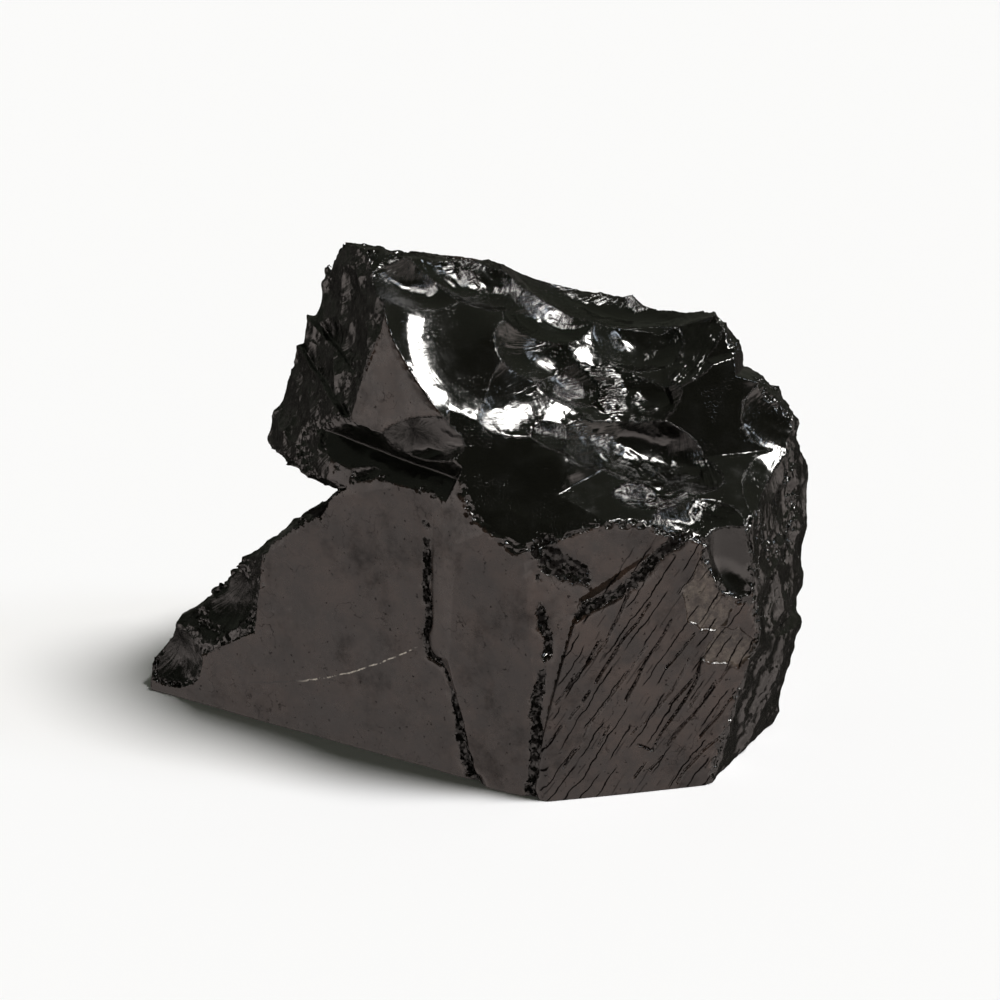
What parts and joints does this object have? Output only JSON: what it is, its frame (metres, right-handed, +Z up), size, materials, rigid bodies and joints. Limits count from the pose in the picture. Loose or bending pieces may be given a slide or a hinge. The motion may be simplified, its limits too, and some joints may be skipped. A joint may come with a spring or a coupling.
{
  "type": "shungite stone",
  "caption": "Broken lump of glassy black shungite with flat joint faces, shell-shaped hollows and cracked, chipped edges, lying on a flat underside.",
  "frame": {"origin": "middle of the stone's bounding box, at the level of the surface it rests on", "axes": "+X to the right and +Z up as the stone is seen from the front, +Y to the back"},
  "size_m": [0.0666, 0.0462, 0.0495],
  "materials": {
    "shungite": "glassy black with a half-metallic lustre, satin on the flat faces"
  },
  "bodies": {
    "root": {"stone": "shungite"}
  },
  "joints": []
}
